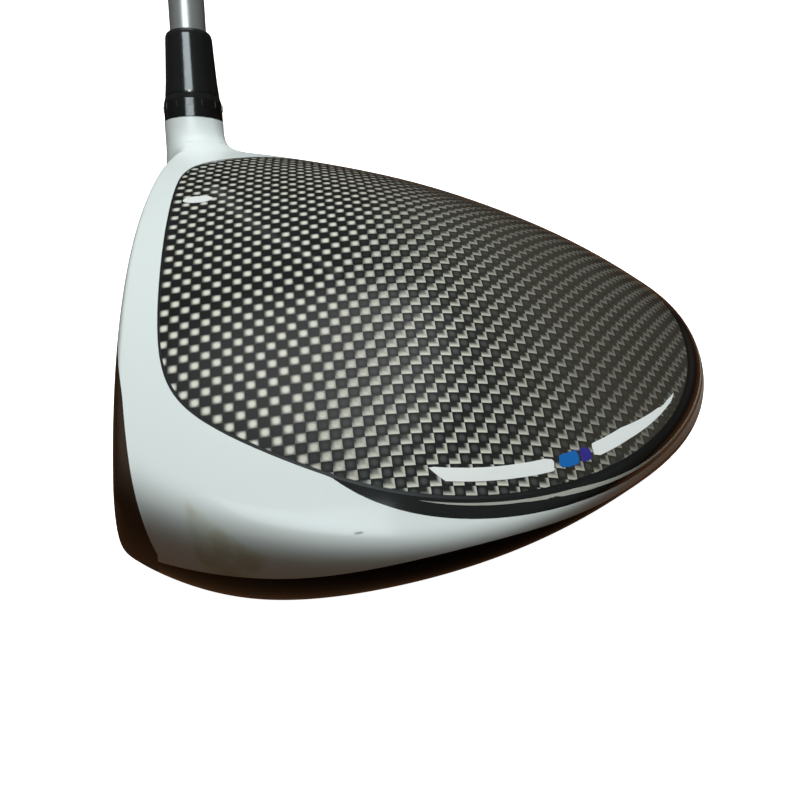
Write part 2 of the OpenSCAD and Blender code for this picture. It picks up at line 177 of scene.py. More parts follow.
def head_grid(columns, crown_rows, skirt_rows, sole_rows):
    """Vertices of the head's outside as a grid, their gaps to the face, and each row's zone:
    0 to 1 on the crown, 1 to 2 on the skirt and 2 to 3 on the sole."""
    angle = np.linspace(0, 2 * np.pi, columns, endpoint=False)
    rim, sole, out_rim, out_sole = ray_frame(angle)
    rows = [crown_row(rim, max(k, POLE) / crown_rows) for k in range(crown_rows)]
    zone = [k / crown_rows for k in range(crown_rows)]
    for k in range(skirt_rows + 1):
        rows.append(skirt_row(rim, sole, out_rim, out_sole, k / skirt_rows))
        zone.append(1 + k / skirt_rows)
    for k in range(1, sole_rows + 1):
        q = max(sole_rows - k, POLE) / sole_rows
        rows.append(sole_row(sole, q))
        zone.append(3 - q)
    grid, gap = press_on_face(np.stack(rows), softness=1.6)
    return grid, gap, np.array(zone)


def crown_edge(angle):
    """Plan radius of the crown panel's edge about the head's centre."""
    r = spline(CROWN_EDGE_R, angle)
    s = np.sin(angle)
    front = np.where(s < -0.05, (CROWN_FRONT_Y - CENTRE_Y) / np.minimum(s, -0.05), 1000.0)
    return (r**-CORNER_POWER + front**-CORNER_POWER) ** (-1 / CORNER_POWER)


def sole_panel_field(x, y, angle, r, side):
    """Positive inside one sole panel, in plan."""
    margin, inner_x, front_y, rounding = 12, 15, 4, 6
    rim = spline(SOLE_R, angle) - margin - r
    inner = smooth_min(side * x - inner_x, y - front_y, rounding)
    return smooth_min(rim, inner, rounding)


def keel_field(x, y):
    """Positive inside the aft keel, in plan; it widens toward the back."""
    front_y, back_y, rounding = 26, 79, 3
    half_width = 6 + 6.5 * np.clip((y - front_y) / 32, 0, 1)
    ends = smooth_min(y - front_y, back_y - y, rounding)
    return smooth_min(half_width - np.abs(x), ends, rounding)


def slot_field(x, y):
    """Positive inside the front slot, in plan."""
    slot_y, half_length, half_width = -28.5, 20.5, 2.5
    along = np.maximum(np.abs(x) - half_length, 0)
    return half_width - np.hypot(along, y - slot_y)


def axis_distance(points, foot, axis):
    """Distance of points from a line."""
    d = points - foot
    return np.linalg.norm(d - (d @ axis)[..., None] * axis, axis=-1)


# ---- surface pieces cut from the grid ----

FIELDS = ["crown", "black_zone", "under", "front", "trim_split", "toe_panel", "heel_panel",
          "keel", "slot", "weight", "port", "radius_left", "angle"]


class Skin:
    """Triangles with a table of columns: position, normal and the named fields."""

    def __init__(self, table, tris):
        self.table = table
        self.tris = tris

    def field(self, name):
        """One field's value at each vertex."""
        return self.table[:, 6 + FIELDS.index(name)]

    def cut(self, values):
        """The part where values, one per vertex, are positive, cut along their zero line."""
        inside = values[self.tris] >= 0
        count = inside.sum(1)
        out = [self.tris[count == 3]]
        new_a, new_b, jobs = [], [], []
        for wanted, lone_inside in ((1, True), (2, False)):
            part = self.tris[count == wanted]
            flags = inside[count == wanted]
            lone = np.argmax(flags if lone_inside else ~flags, axis=1)
            i = np.arange(len(part))
            a, b, c = part[i, lone], part[i, (lone + 1) % 3], part[i, (lone + 2) % 3]
            jobs.append((lone_inside, a, b, c, sum(len(x) for x in new_a)))
            new_a += [a, a]
            new_b += [b, c]
        first, second = np.concatenate(new_a), np.concatenate(new_b)
        low, high = np.minimum(first, second), np.maximum(first, second)
        base = len(self.table)
        pairs, index = np.unique(np.stack([low, high], 1), axis=0, return_inverse=True)
        index = index.reshape(-1)
        fa, fb = values[pairs[:, 0]], values[pairs[:, 1]]
        share = (fa / np.where(fa == fb, 1, fa - fb))[:, None]
        fresh = self.table[pairs[:, 0]] * (1 - share) + self.table[pairs[:, 1]] * share
        table = np.vstack([self.table, fresh])
        for lone_inside, a, b, c, start in jobs:
            n = len(a)
            ab, ac = base + index[start:start + n], base + index[start + n:start + 2 * n]
            if lone_inside:
                out.append(np.stack([a, ab, ac], 1))
            else:
                out.append(np.stack([ab, b, c], 1))
                out.append(np.stack([ab, c, ac], 1))
        tris = np.concatenate(out)
        used, inverse = np.unique(tris, return_inverse=True)
        return Skin(table[used], inverse.reshape(-1, 3))

    def above(self, name, level=0.0):
        """The part where a field is above a level."""
        return self.cut(self.field(name) - level)

    def below(self, name, level=0.0):
        """The part where a field is below a level."""
        return self.cut(level - self.field(name))


def ease(value, low, high):
    """Smooth step from 0 at low to 1 at high."""
    t = np.clip((value - low) / (high - low), 0, 1)
    return t * t * (3 - 2 * t)


def face_limit(x, z):
    """How far the face's black reaches behind the ball: the paint wraps over the top line,
    and the black turns round the toe below it."""
    toe = ease(x, 18, 38)
    round_toe = np.clip(1.0 + (50.2 - z) * 0.26, 0.4, 6.0)
    top_line = np.where(z > 20, -2.0, 0.4)
    return top_line * (1 - toe) + round_toe * toe


def neck_blend(points, tree, softness=7.5):
    """Moves points onto the smooth union of the head and the hosel; gives points and normals."""
    moved = points.copy()
    blend_from, blend_to = 26, 46
    for _ in range(5):
        near = [tree.find_nearest(Vector(point)) for point in moved]
        place = np.array([hit[0] for hit in near])
        face_out = np.array([hit[1] for hit in near])
        face_out *= np.sign(((place - HEAD_MIDDLE) * face_out).sum(-1, keepdims=True))
        offset = moved - place
        distance = np.linalg.norm(offset, axis=-1)
        side = np.where((offset * face_out).sum(-1) < 0, -1.0, 1.0)
        head_gap = distance * side
        head_out = offset * (side / np.maximum(distance, 1e-6))[:, None]
        head_out = np.where(distance[:, None] > 0.05, head_out, face_out)
        along = (moved - HOSEL_FOOT) @ SHAFT_UP
        away = moved - HOSEL_FOOT - along[:, None] * SHAFT_UP
        radius = np.linalg.norm(away, axis=-1)
        tube_out = away / radius[:, None]
        width = softness * ease(along, blend_from, blend_to) + 0.01
        tube_gap = radius - HOSEL_R
        share = np.clip(0.5 + 0.5 * (tube_gap - head_gap) / width, 0, 1)
        gap = smooth_min(tube_gap, head_gap, width)
        slope = head_out * share[:, None] + tube_out * (1 - share)[:, None]
        steep = (slope * slope).sum(-1)
        moved -= slope * (gap / steep)[:, None]
    return moved, slope / np.sqrt(steep)[:, None]


def grid_quads(rows, columns):
    """Quads of a grid of rows that close on themselves."""
    i = np.arange(rows - 1)[:, None] * columns + np.arange(columns)[None]
    j = np.arange(rows - 1)[:, None] * columns + (np.arange(columns)[None] + 1) % columns
    return np.stack([i, i + columns, j + columns, j], -1).reshape(-1, 4)


def grid_triangles(rows, columns):
    """The same grid in triangles."""
    quads = grid_quads(rows, columns)
    return np.concatenate([quads[:, [0, 1, 2]], quads[:, [0, 2, 3]]])


def search_tree(grid):
    """Search tree of a surface given as a grid."""
    rows, columns = grid.shape[:2]
    return BVHTree.FromPolygons(grid.reshape(-1, 3).tolist(), grid_triangles(rows, columns).tolist())


def build_skin(outside, tree):
    """The whole outside of the head with its fields; outside is what head_grid gives."""
    grid, gap, zone = outside
    rows, columns = grid.shape[:2]
    ahead = np.roll(grid, -1, 1) - np.roll(grid, 1, 1)
    down = np.gradient(grid, axis=0)
    normal = np.cross(down, ahead)
    normal /= np.linalg.norm(normal, axis=-1, keepdims=True) + 1e-12
    outward = grid - HEAD_MIDDLE
    normal *= np.sign((normal * outward).sum(-1, keepdims=True))
    for ring, toward in ((0, 1), (rows - 1, -1)):
        normal[ring] = (0, 0, toward)
    x, y, z = grid[..., 0], grid[..., 1], grid[..., 2]
    r = np.hypot(x, y - CENTRE_Y)
    turn = np.arctan2(y - CENTRE_Y, x)
    edge = crown_edge(turn)
    high = zone[:, None] < 1.5
    floor = np.minimum(spline(RIM_LINE_Z, turn), 44)
    crown = np.where(high, np.minimum(edge - r, (z - floor) * 1.5), OFF)
    over_rim = np.where(high & (y > -14), z - spline(RIM_LINE_Z, turn), OFF)
    black_zone = np.maximum(crown + SEAM_WIDTH, over_rim)
    low_side = zone[:, None] > 1.6
    from_hosel = axis_distance(grid, HOSEL_FOOT, SHAFT_UP)
    from_weight = axis_distance(grid, WEIGHT_AT, WEIGHT_AXIS)
    from_heel = x + 38 - 0.35 * (z - 10)
    first_turn = 1.2
    values = {
        "crown": crown,
        "black_zone": black_zone,
        "under": spline(SOLE_LINE_Z, turn) - 9 * (1 - ease(from_hosel, 9, 24)) - z,
        "front": np.minimum(face_limit(x, z) - gap, from_heel),
        "trim_split": over_rim,
        "toe_panel": np.where(low_side, sole_panel_field(x, y, turn, r, 1), OFF),
        "heel_panel": np.where(low_side, sole_panel_field(x, y, turn, r, -1), OFF),
        "keel": np.where(low_side, keel_field(x, y), OFF),
        "slot": np.where(low_side, slot_field(x, y), OFF),
        "weight": np.where(low_side, WEIGHT_HOLE_R - from_weight, OFF),
        "port": HOSEL_R + 0.1 - from_hosel,
        "radius_left": edge - r,
        "angle": np.degrees(np.mod(turn + first_turn, 2 * np.pi)) - math.degrees(first_turn),
    }
    beside = (from_hosel < HOSEL_R + 9) & (z > 18)
    grid[beside], normal[beside] = neck_blend(grid[beside], tree)
    stack = [grid, normal] + [values[name][..., None] for name in FIELDS]
    table = np.concatenate(stack, axis=-1).reshape(rows * columns, -1)
    return Skin(table, grid_triangles(rows, columns))


def make_mesh(name, points, faces, normals=None, material=None):
    """A mesh object from millimetre arrays."""
    mesh = bpy.data.meshes.new(name)
    mesh.vertices.add(len(points))
    mesh.vertices.foreach_set("co", (np.asarray(points) * MM).astype(np.float32).ravel())
    faces = np.asarray(faces, np.int32)
    mesh.loops.add(faces.size)
    mesh.loops.foreach_set("vertex_index", faces.ravel())
    mesh.polygons.add(len(faces))
    size = faces.shape[1]
    mesh.polygons.foreach_set("loop_start", np.arange(len(faces), dtype=np.int32) * size)
    mesh.polygons.foreach_set("use_smooth", np.ones(len(faces), bool))
    mesh.update(calc_edges=True)
    mesh.validate()
    if normals is not None:
        mesh.normals_split_custom_set_from_vertices(np.asarray(normals, float).tolist())
    obj = bpy.data.objects.new(name, mesh)
    bpy.context.scene.collection.objects.link(obj)
    if material is not None:
        mesh.materials.append(material)
    return obj


def skin_object(name, skin, material, lift=0.0, wall=0.6):
    """A piece of skin, moved along its normals by lift, with an edge wall turned inward."""
    points = skin.table[:, :3] + skin.table[:, 3:6] * np.broadcast_to(lift, len(skin.table))[:, None]
    normals = skin.table[:, 3:6].copy()
    tris = skin.tris
    if wall:
        edges = np.concatenate([tris[:, [0, 1]], tris[:, [1, 2]], tris[:, [2, 0]]])
        key = np.sort(edges, axis=1)
        _, first, count = np.unique(key, axis=0, return_index=True, return_counts=True)
        rim = edges[first[count == 1]]
        used, local = np.unique(rim, return_inverse=True)
        local = local.reshape(-1, 2)
        top = len(points) + local
        low = top + len(used)
        side = points[rim[:, 1]] - points[rim[:, 0]]
        out = np.cross(side, normals[rim[:, 0]])
        edge_normal = np.zeros((len(used), 3))
        np.add.at(edge_normal, local[:, 0], out)
        np.add.at(edge_normal, local[:, 1], out)
        edge_normal /= np.linalg.norm(edge_normal, axis=1, keepdims=True) + 1e-12
        points = np.vstack([points, points[used], points[used] - normals[used] * wall])
        normals = np.vstack([normals, edge_normal, edge_normal])
        tris = np.concatenate([
            tris,
            np.stack([top[:, 1], top[:, 0], low[:, 0]], 1),
            np.stack([top[:, 1], low[:, 0], low[:, 1]], 1)])
    return make_mesh(name, points, tris, normals, material)


# ---- materials: x is toward the toe, y toward the back and z up, in metres ----

def new_material(name, color, roughness, metallic=0.0, coat=0.0, coat_rough=0.03, specular=0.5):
    """A principled material with constant values on its sockets."""
    mat = bpy.data.materials.new(name)
    mat.use_nodes = True
    shader = mat.node_tree.nodes["Principled BSDF"]
    shader.inputs["Base Color"].default_value = (*color, 1)
    shader.inputs["Roughness"].default_value = roughness
    shader.inputs["Metallic"].default_value = metallic
    shader.inputs["Coat Weight"].default_value = coat
    shader.inputs["Coat Roughness"].default_value = coat_rough
    shader.inputs["Specular IOR Level"].default_value = specular
    return mat


class Nodes:
    """Short calls for shader nodes of one material."""

    def __init__(self, mat):
        self.tree = mat.node_tree
        self.shader = mat.node_tree.nodes["Principled BSDF"]

    def put(self, socket, value):
        """Links a socket to the input, or sets the input's value."""
        if isinstance(value, bpy.types.NodeSocket):
            self.tree.links.new(value, socket)
        else:
            socket.default_value = value

    def math(self, operation, *values):
        node = self.tree.nodes.new("ShaderNodeMath")
        node.operation = operation
        for socket, value in zip(node.inputs, values):
            self.put(socket, value)
        return node.outputs[0]

    def position(self):
        """The place on the object, whole and split in x, y and z."""
        node = self.tree.nodes.new("ShaderNodeTexCoord")
        split = self.tree.nodes.new("ShaderNodeSeparateXYZ")
        self.tree.links.new(node.outputs["Object"], split.inputs[0])
        return node.outputs["Object"], split.outputs

    def mix(self, factor, low, high):
        node = self.tree.nodes.new("ShaderNodeMix")
        node.data_type = "RGBA"
        self.put(node.inputs[0], factor)
        self.put(node.inputs[6], low)
        self.put(node.inputs[7], high)
        return node.outputs[2]

    def noise(self, vector, scale, detail=3.0):
        node = self.tree.nodes.new("ShaderNodeTexNoise")
        self.tree.links.new(vector, node.inputs["Vector"])
        node.inputs["Scale"].default_value = scale
        node.inputs["Detail"].default_value = detail
        return node.outputs["Fac"]

    def span(self, value, low, high):
        """Value from 0..1 to low..high."""
        return self.math("MULTIPLY_ADD", value, high - low, low)

    def window(self, value, low, high, edge):
        """1 between low and high, with soft edges."""
        return self.math("MULTIPLY", self.smooth(value, low - edge, low + edge),
                         self.smooth(value, high + edge, high - edge))

    def smooth(self, value, low, high):
        """Smooth step from 0 at low to 1 at high."""
        node = self.tree.nodes.new("ShaderNodeMapRange")
        node.interpolation_type = "SMOOTHSTEP"
        self.put(node.inputs["Value"], value)
        node.inputs["From Min"].default_value = low
        node.inputs["From Max"].default_value = high
        return node.outputs["Result"]

    def bump(self, height, strength, distance):
        node = self.tree.nodes.new("ShaderNodeBump")
        node.inputs["Strength"].default_value = strength
        node.inputs["Distance"].default_value = distance
        self.tree.links.new(height, node.inputs["Height"])
        self.tree.links.new(node.outputs["Normal"], self.shader.inputs["Normal"])


def worn(name, color, rough, scale, bump, **look):
    """A material with fine unevenness: its roughness swings between two values, and it ripples."""
    mat = new_material(name, color, rough[0], **look)
    n = Nodes(mat)
    place, _ = n.position()
    grain = n.noise(place, scale)
    n.put(n.shader.inputs["Roughness"], n.span(grain, *rough))
    n.bump(grain, bump, 0.1 * MM)
    return mat


TOW = 1.68 * MM          # width of one tow
CURVE_STRETCH = 20.0     # growth of the pattern with the cube of the distance from the middle
# Colours of the weave. The tows' own colour is near black; the rest is painted light: a painted
# highlight on the tows that run heel to toe, falling to near black at its edge, a painted sheen on the
# tows that run front to back, and a painted dim brown reflection on the far weave.
PAINTED_TOW_HIGHLIGHT = (0.68, 0.69, 0.61, 1)
GLINTING_TOW_BASE = (0.006, 0.007, 0.0065, 1)
DARK_TOW = (0.0025, 0.003, 0.0027, 1)
DARK_TOW_SHEEN = (0.05, 0.056, 0.052, 1)
FAR_WEAVE_PAINTED_REFLECTION = (0.045, 0.04, 0.03, 1)


def carbon_material():
    """Plain weave under a clear coat, with its reflection painted into the colour: the tows that run
    heel to toe carry a painted highlight, as ovals at the front and as hooks at the back, the tows that
    run front to back carry a painted sheen, and the weave fades to a painted dim brown reflection."""
    mat = new_material("carbon_weave", (0.02, 0.02, 0.02), 0.5, coat=1.0, coat_rough=0.05, specular=0.15)
    n = Nodes(mat)
    _, xyz = n.position()

    def along_surface(value):
        """Distance in tows, stretched where the crown slopes away."""
        scaled = n.math("DIVIDE", value, TOW)
        cube = n.math("POWER", n.math("ABSOLUTE", value), 3.0)
        stretch = n.math("MULTIPLY", cube, CURVE_STRETCH / TOW)
        signed = n.math("MULTIPLY", n.math("SIGN", value), stretch)
        return n.math("ADD", scaled, signed)

    u, v = along_surface(xyz[0]), along_surface(xyz[1])
    cell = n.math("FLOORED_MODULO", n.math("ADD", n.math("FLOOR", u), n.math("FLOOR", v)), 2.0)
    glinting_tow_on_top = n.math("LESS_THAN", cell, 0.5)
    s, t = n.math("FRACT", u), n.math("FRACT", v)
    arch_s = n.math("SINE", n.math("MULTIPLY", s, math.pi))
    arch_t = n.math("SINE", n.math("MULTIPLY", n.math("POWER", t, 1.25), math.pi))
    rise = n.math("MULTIPLY", arch_s, arch_t)
    # Painted highlight on each float of the heel-to-toe tows: an oval in its middle at the front,
    # shifting to a hook at its ends toward the back.
    oval = n.smooth(rise, -0.08, 0.92)
    toe_end = n.smooth(s, 0.35, 0.95)
    back_edge = n.math("MULTIPLY", n.smooth(t, 0.55, 1.0), 0.85)
    hook = n.math("MULTIPLY", n.math("MAXIMUM", toe_end, back_edge), n.smooth(arch_s, 0.0, 0.22))
    toward_back = n.math("ADD", xyz[1], n.math("MULTIPLY", xyz[0], 0.35))
    shift = n.smooth(toward_back, 12 * MM, 40 * MM)
    glint = n.math("ADD", n.math("MULTIPLY", oval, n.math("SUBTRACT", 1.0, shift)),
                   n.math("MULTIPLY", hook, shift))
    # Painted sheen on the front-to-back tows, growing toward the back.
    dark_arch = n.math("MULTIPLY", arch_s, n.math("SINE", n.math("MULTIPLY", t, math.pi)))
    sheen = n.math("MULTIPLY", n.smooth(dark_arch, 0.2, 1.0), shift)
    dark = n.mix(sheen, DARK_TOW, DARK_TOW_SHEEN)
    # The heel-to-toe tows' colour is their painted highlight over near black.
    light = n.mix(glint, GLINTING_TOW_BASE, PAINTED_TOW_HIGHLIGHT)
    weave = n.mix(glinting_tow_on_top, dark, light)
    # Painted reflection: toward the heel and back the weave fades to a dim brown.
    toward_heel_back = n.math("SUBTRACT", xyz[1], n.math("MULTIPLY", xyz[0], 0.25))
    reflection_fade = n.math("MULTIPLY", n.smooth(toward_heel_back, 12 * MM, 46 * MM), 0.76)
    n.put(n.shader.inputs["Base Color"], n.mix(reflection_fade, weave, FAR_WEAVE_PAINTED_REFLECTION))
    n.bump(rise, 0.12, 0.1 * MM)
    return mat


WHITE = (0.70, 0.775, 0.775)
RESIDUE = (0.46, 0.47, 0.29, 1)
NICK = (0.04, 0.05, 0.04, 1)
# Edges of the sticker residue at the toe: inside where a * y + b * z is above the limit, in mm.
RESIDUE_EDGES = [(-0.59, -1.0, -34.7), (-0.19, 1.0, 31.4), (1.0, 0.0, -14.0), (-1.0, 0.52, 22.5)]


def white_paint():
    """White gloss paint of uneven gloss, with sticker residue and a dark nick at the toe."""
    mat = new_material("pearl_white", WHITE, 0.32, coat=0.2, specular=0.3)
    n = Nodes(mat)
    place, xyz = n.position()
    at_toe = n.smooth(xyz[0], 42 * MM, 46 * MM)
    patch = at_toe
    for along_y, along_z, limit in RESIDUE_EDGES:
        level = n.math("MULTIPLY_ADD", xyz[1], along_y, n.math("MULTIPLY", xyz[2], along_z))
        inside = n.smooth(level, (limit - 0.7) * MM, (limit + 0.7) * MM)
        patch = n.math("MULTIPLY", patch, inside)
    blotch = n.smooth(n.noise(place, 260, 5.0), 0.40, 0.62)
    residue = n.math("MULTIPLY", patch, n.span(blotch, 0.25, 0.60))
    painted = n.mix(residue, (*WHITE, 1), RESIDUE)
    nick = n.math("MULTIPLY", n.window(xyz[1], 8.7 * MM, 9.8 * MM, 0.35 * MM),
                  n.window(xyz[2], 40.0 * MM, 40.15 * MM, 0.12 * MM))
    nick = n.math("MULTIPLY", nick, at_toe)
    n.put(n.shader.inputs["Base Color"], n.mix(nick, painted, NICK))
    fine = n.noise(place, 90, 4.0)
    n.put(n.shader.inputs["Roughness"], n.span(fine, 0.26, 0.40))
    n.put(n.shader.inputs["Coat Roughness"], n.span(residue, 0.06, 0.56))
    return mat


# Each worn material: name, colour, range of roughness, scale of its grain and strength of its bump.
MATS = {
    "white": white_paint(),
    "carbon": carbon_material(),
    "face": worn("face_black", (0.030, 0.017, 0.009), (0.28, 0.42), 400, 0.08, specular=0.3),
    "gloss_black": worn("trim_black", (0.004, 0.004, 0.004), (0.06, 0.14), 60, 0.05, coat=1.0),
    "sole": worn("sole_black", (0.003, 0.003, 0.0025), (0.08, 0.18), 70, 0.05, specular=0.04),
    "seam": worn("seam_black", (0.006, 0.006, 0.006), (0.3, 0.5), 300, 0.1),
    "light_line": worn("trim_light_line", (0.35, 0.37, 0.33), (0.2, 0.4), 200, 0.05),
    "decal_white": worn("decal_white", (0.80, 0.85, 0.85), (0.25, 0.35), 150, 0.03, coat=0.6),
    "decal_blue": worn("decal_blue", (0.004, 0.13, 0.46), (0.25, 0.35), 150, 0.03, coat=0.6),
    "decal_navy": worn("decal_navy", (0.03, 0.02, 0.25), (0.25, 0.35), 150, 0.03, coat=0.6),
    "steel": worn("machined_steel", (0.55, 0.55, 0.56), (0.2, 0.36), 500, 0.1, metallic=1.0),
    "dark_steel": worn("dark_steel", (0.12, 0.12, 0.125), (0.28, 0.45), 500, 0.1, metallic=1.0),
    "slot": worn("slot_rubber", (0.03, 0.03, 0.032), (0.6, 0.85), 600, 0.3),
    "sleeve": worn("sleeve_black", (0.003, 0.003, 0.003), (0.10, 0.2), 200, 0.05,
                   coat=0.6, coat_rough=0.12),
    "ferrule": worn("ferrule_black", (0.002, 0.0025, 0.0025), (0.06, 0.14), 150, 0.05,
                    coat=1.0, coat_rough=0.2),
    "epoxy": worn("cured_epoxy", (0.55, 0.42, 0.18), (0.3, 0.5), 200, 0.1),
    "shaft": worn("shaft_silver", (0.36, 0.38, 0.38), (0.26, 0.38), 300, 0.05, metallic=0.6, coat=0.5),
    "tape": worn("grip_tape", (0.6, 0.55, 0.38), (0.7, 0.9), 300, 0.3),
    "rubber": worn("grip_rubber", (0.012, 0.012, 0.012), (0.65, 0.85), 700, 0.4),
}

NODE_MATERIALS = {
    "hosel_tube": "white", "weight_cup": "dark_steel", "rear_weight": "steel",
    "weight_screw": "steel", "hosel_bolt": "steel", "bolt_washer": "steel",
    "loft_sleeve": "sleeve", "thread_insert": "steel", "tip_bond": "epoxy",
    "ferrule": "ferrule", "grip_tape": "tape", "grip_cap": "rubber",
    "body_shell": "white", "face_plate": "face", "crown_panel": "carbon",
    "crown_seam": "seam", "rear_trim": "gloss_black", "sole_shell": "sole",
    "sole_panel_toe": "gloss_black", "sole_panel_heel": "gloss_black",
    "sole_keel": "gloss_black", "slot_insert": "slot", "shaft": "shaft", "grip": "rubber",
}


def paint_frame():
    """Gives every CAD node its own material."""
    for name, key in NODE_MATERIALS.items():
        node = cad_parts[name]
        node.data.materials.clear()
        node.data.materials.append(MATS[key])
        for poly in node.data.polygons:
            poly.material_index = 0


def attach(obj, body, slot, *nodes):
    """Puts a finished piece on its body, in place of CAD nodes."""
    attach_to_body(obj, body)
    if nodes:
        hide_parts(*nodes)
    return obj


# ---- head pieces ----

def head_pieces(skin):
    """Cuts the outside of the head into its separate pieces."""
    crown = skin.above("crown", 0.1)
    attach(skin_object("crown_panel_skin", crown, MATS["carbon"]), "head", "carbon", "crown_panel")
    band = skin.below("crown", 0.1).above("crown", -SEAM_WIDTH)
    attach(skin_object("crown_seam_skin", band, MATS["seam"], lift=-0.12, wall=0.4),
           "head", "seam_black", "crown_seam")
    trim = skin.below("crown", -SEAM_WIDTH).above("trim_split", 0.0)
    attach(skin_object("rear_trim_skin", trim, MATS["gloss_black"]), "head", "trim_black", "rear_trim")
    shell = skin.below("black_zone", 0.0).below("under", 0.0).below("front", 0.0)
    shell = shell.below("port", 0.3)
    attach(skin_object("body_shell_skin", shell, MATS["white"]), "head", "pearl_white", "body_shell")
    face = skin.above("front", 0.0)
    attach(skin_object("face_plate_skin", face, MATS["face"]), "head", "face_black", "face_plate")
    sole = skin.below("front", 0.0).above("under", 0.0)
    for name in ("toe_panel", "heel_panel", "keel", "slot", "weight", "port"):
        sole = sole.below(name, -SOLE_GAP)
    attach(skin_object("sole_shell_skin", sole, MATS["sole"]), "head", "sole_black", "sole_shell")
    for side in ("toe", "heel"):
        panel = skin.above(side + "_panel", 0.0)
        attach(skin_object(f"sole_panel_{side}_skin", panel, MATS["gloss_black"]),
               "head", "trim_black", f"sole_panel_{side}")
    keel = skin.above("keel", 0.0).below("weight", -SOLE_GAP)
    keel_height, shoulder = 2.1, 1.6
    rise = keel_height * np.clip(keel.field("keel") / shoulder, 0, 1) ** 0.6
    attach(skin_object("sole_keel_skin", keel, MATS["gloss_black"], lift=rise),
           "head", "trim_black", "sole_keel")
    slot = skin.above("slot", 0.0)
    attach(skin_object("slot_insert_skin", slot, MATS["slot"], lift=-0.4),
           "head", "slot_rubber", "slot_insert")


def hosel_neck(tree):
    """The hosel's outside below its top, flowing out into the crown; it ends inside the head."""
    columns, rows = 144, 60
    below_top, length, flare_limit = 0.6, 31, 4.2
    turn = np.linspace(0, 2 * np.pi, columns, endpoint=False)
    outs = np.cos(turn)[:, None] * SHAFT_SIDE + np.sin(turn)[:, None] * SHAFT_BACK
    lengths = HOSEL_TOP - below_top - length * (np.arange(rows) / (rows - 1)) ** 1.2
    rings = HOSEL_FOOT + lengths[:, None, None] * SHAFT_UP + outs * (HOSEL_R + 0.02)
    tube = rings.reshape(-1, 3)
    points, normals = neck_blend(tube, tree)
    depth = np.linalg.norm(points - tube, axis=-1)
    tris = grid_triangles(rows, columns)
    tris = tris[depth[tris].max(axis=1) < flare_limit]
    attach(make_mesh("hosel_neck_skin", points, tris, normals, MATS["white"]), "head", "pearl_white")


def crown_marks(skin):
    """Plain marks on the crown: a tapering white arc with two coloured chips, and a white oval."""
    crown = skin.above("crown", 0.3)
    angle = crown.field("angle")
    left = crown.field("radius_left")
    taper = np.clip((angle - 40) / 18, 0, 1)
    inner = 3.75 - 2.7 * taper
    outer = 1.9 - 0.9 * taper
    arc = np.minimum(inner - left, left - outer)
    front_end = angle - 8.4 + (left - outer) * 1.1
    position = angle - 7.9 - (left - outer) * 0.6
    spans = [("decal_white", "arc_white_front", 0.0, 17.2), ("decal_blue", "arc_chip_blue", 18.1, 21.6),
             ("decal_navy", "arc_chip_navy", 21.9, 23.9), ("decal_white", "arc_white_rear", 24.4, 51.0)]
    for key, name, start, stop in spans:
        after = front_end if start == 0.0 else position - start
        field = np.minimum(arc, np.minimum(after, stop - position) * 0.9)
        piece = crown.cut(field)
        attach(skin_object(name, piece, MATS[key], lift=0.05, wall=0.06), "head", "pearl_white")
    x, y = crown.table[:, 0], crown.table[:, 1]
    oval = 1 - np.hypot((x + 11.2) / 1.5, (y + 13.8) / 2.8)
    attach(skin_object("crown_oval", crown.cut(oval), MATS["decal_white"], lift=0.05, wall=0.06),
           "head", "pearl_white")


def trim_line(skin):
    """Thin light line between the two bands of the rear trim."""
    trim = skin.below("crown", -0.9).above("trim_split", 0.2)
    line_height, half_width = 1.25, 0.22
    line = half_width - np.abs(trim.field("trim_split") - line_height)
    attach(skin_object("rear_trim_line", trim.cut(line), MATS["light_line"], lift=0.03, wall=0.05),
           "head", "trim_black")


# ---- club pieces ----

def lathe(name, profile, material, columns=96):
    """A turned piece on the shaft's line; profile holds (radius, length) pairs from the ground."""
    turn = np.linspace(0, 2 * np.pi, columns, endpoint=False)
    out = np.cos(turn)[:, None] * SHAFT_SIDE + np.sin(turn)[:, None] * SHAFT_BACK
    rings = [HOSEL_FOOT + SHAFT_UP * length + out * radius for radius, length in profile]
    quads = grid_quads(len(profile), columns)[:, [0, 3, 2, 1]]
    return make_mesh(name, np.concatenate(rings), quads, None, material)


def shaft_piece():
    """Tapered shaft, closed at its tip, with a straight part at either end."""
    tip, butt, tip_end = 4.25, 7.6, HOSEL_TOP - 24
    start, stop, butt_end = HOSEL_TOP + 60, CLUB_LENGTH - GRIP_LENGTH - 60, CLUB_LENGTH - 6
    profile = [(0.05, tip_end), (tip - 0.3, tip_end), (tip, tip_end + 0.3)]
    profile += [(tip, HOSEL_TOP + 4 * k) for k in range(16)]
    profile += [(tip + (butt - tip) * k / 80, start + (stop - start) * k / 80) for k in range(81)]
    profile += [(butt, stop + (butt_end - stop) * k / 20) for k in range(1, 21)]
    attach(lathe("shaft_skin", profile, MATS["shaft"]), "club", "shaft_silver", "shaft")


def grip_radius(h):
    """Outside of the grip at a height above its mouth."""
    mouth_r, cap_r = 9.3, 13.3
    return mouth_r + (cap_r - mouth_r) * (h / GRIP_LENGTH) ** 1.15


def grip_piece():
    """Rubber grip with rounded shallow grooves."""
    mouth = CLUB_LENGTH - GRIP_LENGTH
    body = GRIP_LENGTH - 5
    pitch, depth, half_width, step = 7, 0.45, 0.8, 0.4
    profile = [(7.9, mouth), (8.7, mouth + 0.02), (9.25, mouth + 0.7)]
    h = 1.2
    while h < body:
        grooved = 13.0 < h < body - 22
        phase = ((h - 2 * pitch) % pitch) if grooved else pitch / 2
        near = min(phase, pitch - phase)
        dip = depth * max(0.0, 1 - (near / half_width) ** 2)
        profile.append((grip_radius(h) - dip, mouth + h))
        h += step
    profile += [(grip_radius(body), mouth + body - 0.02)]
    attach(lathe("grip_skin", profile, MATS["rubber"]), "club", "grip_rubber", "grip")


# ---- stage ----

